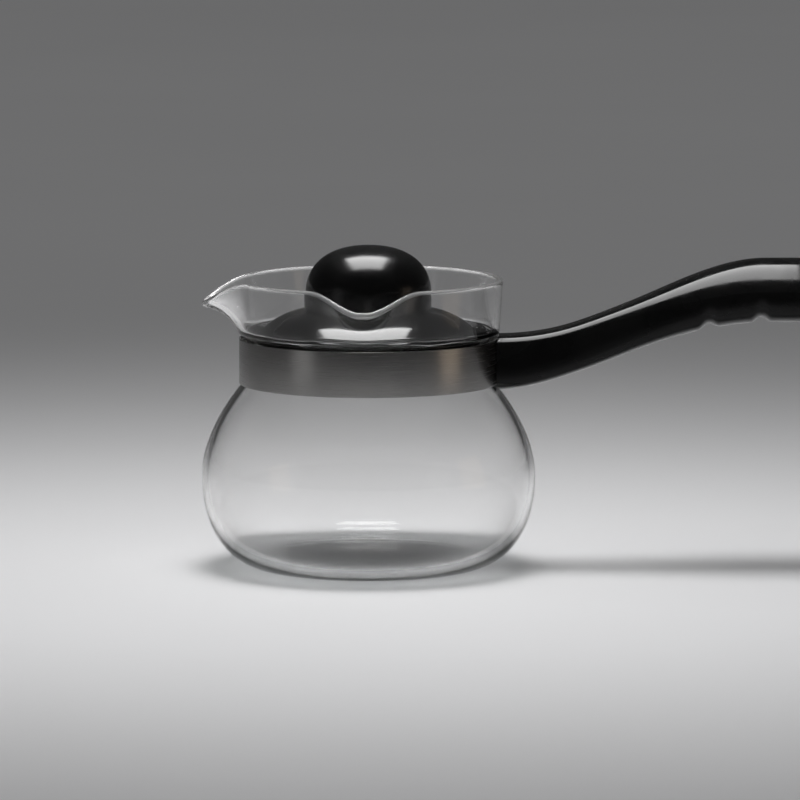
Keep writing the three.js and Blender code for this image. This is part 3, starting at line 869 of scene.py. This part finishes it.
def clear_glass(name, clearness):
    """Blown glass with faint waves, taller than they are wide."""
    material, tree, shader = surface(name, (1, 1, 1), GLASS_ROUGHNESS[0])
    haze = noise(tree, 25)
    waves = noise(tree, 22, stretch=(1, 1, 0.6), detail=1)
    shader.inputs["IOR"].default_value = GLASS_INDEX
    # Below full clearness the rest of the glass is a diffuse white; on the rim this is a painted glint
    shader.inputs["Transmission Weight"].default_value = clearness
    vary_roughness(tree, shader, haze, GLASS_ROUGHNESS)
    bump(tree, shader, waves, strength=0.25, depth=0.25)
    pass_shadow_rays(tree, shader)
    return material


def polished_steel():
    """Stainless strip, polished along its length, with fine level scratches and a few smears."""
    material, tree, shader = surface("band_steel", STEEL_SHADES[0], STEEL_ROUGHNESS[0], metallic=1)
    smears = noise(tree, 45)
    scratches = noise(tree, 90, stretch=(0.5, 0.5, 60), detail=4)
    vary_colour(tree, shader, smears, STEEL_SHADES)
    vary_roughness(tree, shader, scratches, STEEL_ROUGHNESS)
    bump(tree, shader, scratches, strength=0.03, depth=0.02)
    return material


def moulded_plastic(name, shades, roughness, peel, shine):
    """Black moulding: a little cloudy in colour, uneven in gloss, with a fine orange-peel skin."""
    material, tree, shader = surface(name, shades[0], roughness[0])
    clouds = noise(tree, 60)
    dull_patches = noise(tree, 140)
    skin = noise(tree, 900)
    vary_colour(tree, shader, clouds, shades)
    vary_roughness(tree, shader, dull_patches, roughness)
    bump(tree, shader, skin, peel, depth=0.02)
    shader.inputs["Specular IOR Level"].default_value = shine
    return material


def soft_rubber():
    material, tree, shader = surface("sleeve_rubber", RUBBER_SHADES[0], RUBBER_ROUGHNESS[0])
    bloom = noise(tree, 200)
    worn_patches = noise(tree, 300)
    grain = noise(tree, 2500)
    vary_colour(tree, shader, bloom, RUBBER_SHADES)
    vary_roughness(tree, shader, worn_patches, RUBBER_ROUGHNESS)
    bump(tree, shader, grain, strength=0.3, depth=0.03)
    return material


def turned_metal(name, shades):
    """Small turned parts with tool marks and a slightly uneven colour."""
    material, tree, shader = surface(name, shades[0], TURNED_ROUGHNESS[0], metallic=1)
    stains = noise(tree, 400)
    dull_patches = noise(tree, 1500)
    tool_marks = noise(tree, 2500)
    vary_colour(tree, shader, stains, shades)
    vary_roughness(tree, shader, dull_patches, TURNED_ROUGHNESS)
    bump(tree, shader, tool_marks, strength=0.2, depth=0.02)
    return material


def pale_floor():
    """Dull pale surface with the faintest clouds."""
    material, tree, shader = surface("pale_floor", FLOOR_SHADES[0], FLOOR_ROUGHNESS)
    clouds = noise(tree, 3)
    vary_colour(tree, shader, clouds, FLOOR_SHADES)
    shader.inputs["Specular IOR Level"].default_value = 0
    return material


def softbox_cloth():
    """Bright cloth, found only by the rays that gloss sends to it."""
    material, _, shader = surface("softbox_cloth", (0, 0, 0), 1)
    shader.inputs["Emission Color"].default_value = (1, 1, 1, 1)
    shader.inputs["Emission Strength"].default_value = SOFTBOX_GLOW
    material.cycles.emission_sampling = "NONE"
    return material


# The object's pieces


def finish_piece(made, material, body, node):
    made.data.materials.clear()
    made.data.materials.append(material)
    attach(made, body)
    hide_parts(node)


def dress_band_and_glass():
    vessel = glass_vessel()
    finish_piece(vessel, clear_glass("clear_glass", BODY_CLEARNESS), "pot", "glass_body")
    # The rim gets a milkier glass, a painted glint along its rounded edge
    paint_rim_glints(vessel, clear_glass("rim_glass_painted_glints", RIM_CLEARNESS))
    finish_piece(grip_sleeve(), soft_rubber(), "pot", "band_sleeve")
    finish_piece(steel_band(), polished_steel(), "pot", "neck_band")


def dress_handle(zinc, brass):
    phenolic = moulded_plastic("handle_phenolic", GLOSS_SHADES, HANDLE_ROUGHNESS, peel=0.1, shine=0.16)
    insert_low = -ear_slot_half - clamp_insert_length
    handle = black_handle()
    clamp_screw = screw("band_screw", clamp_screw_length, across_handle(clamp_head_seat))
    clamp_washer = washer("band_washer", across_handle(washer_seat + SEAT_GAP))
    clamp_insert = threaded_sleeve("band_insert", clamp_insert_length, across_handle(insert_low))
    finish_piece(handle, phenolic, "pot", "handle")
    finish_piece(clamp_screw, zinc, "pot", "clamp_screw")
    finish_piece(clamp_washer, zinc, "pot", "clamp_washer")
    finish_piece(clamp_insert, brass, "pot", "clamp_insert")


def dress_lid(zinc, brass):
    gloss = moulded_plastic("lid_plastic", GLOSS_SHADES, LID_ROUGHNESS, peel=0.06, shine=0.25)
    satin = moulded_plastic("knob_plastic", SATIN_SHADES, KNOB_ROUGHNESS, peel=0.14, shine=0.28)
    washer_low = dome_top - DOME_WALL - SEAT_GAP - WASHER_THICKNESS
    head_seat = washer_low - SEAT_GAP
    screw_length = knob_bottom + KNOB_INSERT_LENGTH - head_seat
    dome = domed_lid()
    knob = round_knob()
    knob_insert = threaded_sleeve("lid_insert", KNOB_INSERT_LENGTH, on_axis(knob_bottom + FIT_GAP))
    knob_washer = washer("lid_washer", on_axis(washer_low))
    knob_screw = screw("lid_screw", screw_length, on_axis(head_seat, flipped=True))
    finish_piece(dome, gloss, "lid", "lid_dome")
    finish_piece(knob, satin, "lid", "lid_knob")
    finish_piece(knob_insert, brass, "lid", "knob_insert")
    finish_piece(knob_washer, zinc, "lid", "knob_washer")
    finish_piece(knob_screw, zinc, "lid", "knob_screw")


def dress_pot():
    zinc = turned_metal("screw_steel", ZINC_SHADES)
    brass = turned_metal("insert_brass", BRASS_SHADES)
    dress_band_and_glass()
    dress_handle(zinc, brass)
    dress_lid(zinc, brass)


# Studio: a pale floor, a pool of light on it, a soft box that shows in the gloss, and a dim room


def aim(made, target):
    made.rotation_euler = (Vector(target) - made.location).to_track_quat("-Z", "Y").to_euler()


def area_lamp(name, size, place_at, target, power, spread_degrees=180):
    """Rectangular lamp that faces a point."""
    lamp = bpy.data.lights.new(name, "AREA")
    lamp.shape = "RECTANGLE"
    lamp.size, lamp.size_y = size
    lamp.spread = math.radians(spread_degrees)
    lamp.energy = power
    made = bpy.data.objects.new(name, lamp)
    made.location = place_at
    aim(made, target)
    bpy.context.scene.collection.objects.link(made)
    return made


def panel(name, size, place_at, material):
    """Level rectangle of the studio."""
    x, y = (side / 2 / MM for side in size)
    made = new_object(name, [(-x, -y, 0), (x, -y, 0), (x, y, 0), (-x, y, 0)], [(0, 1, 2, 3)])
    made.location = place_at
    made.data.materials.append(material)
    return made


def dim_room():
    room = bpy.data.worlds.new("room")
    room.use_nodes = True
    walls = room.node_tree.nodes["Background"]
    walls.inputs["Color"].default_value = (1, 1, 1, 1)
    walls.inputs["Strength"].default_value = ROOM_LIGHT
    return room


def studio():
    panel("floor", FLOOR_SIZE, (0, 0, -FLOOR_DROP), pale_floor())
    softbox = panel("softbox", SOFTBOX_SIZE, SOFTBOX_PLACE, softbox_cloth())
    softbox.visible_camera = False
    softbox.visible_diffuse = False
    softbox.visible_transmission = False
    softbox.visible_shadow = False
    key = area_lamp("key", KEY_SIZE, KEY_PLACE, KEY_AIM, KEY_POWER, KEY_SPREAD)
    key.visible_glossy = False
    fill = area_lamp("fill", FILL_SIZE, FILL_PLACE, (0, 0, 0), FILL_POWER)
    fill.visible_glossy = False
    fill.visible_camera = False
    for name, turn, colour, power in STRIPS:
        angle = math.radians(turn)
        spot = (STRIP_DISTANCE * math.sin(angle), -STRIP_DISTANCE * math.cos(angle), STRIP_HEIGHT)
        strip = area_lamp(name, STRIP_SIZE, spot, (0, 0, STRIP_HEIGHT), power)
        strip.data.color = colour
        strip.visible_diffuse = False
        strip.visible_camera = False
    bpy.context.scene.world = dim_room()


def camera():
    data = bpy.data.cameras.new("camera")
    data.lens = CAMERA_LENS
    made = bpy.data.objects.new("camera", data)
    lift = math.radians(CAMERA_ELEVATION)
    back = Vector((0, -math.cos(lift), math.sin(lift)))
    made.location = Vector(CAMERA_AIM) + back * CAMERA_DISTANCE
    aim(made, CAMERA_AIM)
    bpy.context.scene.collection.objects.link(made)
    bpy.context.scene.camera = made


dress_pot()
studio()
camera()
bpy.context.scene.view_settings.view_transform = "Standard"
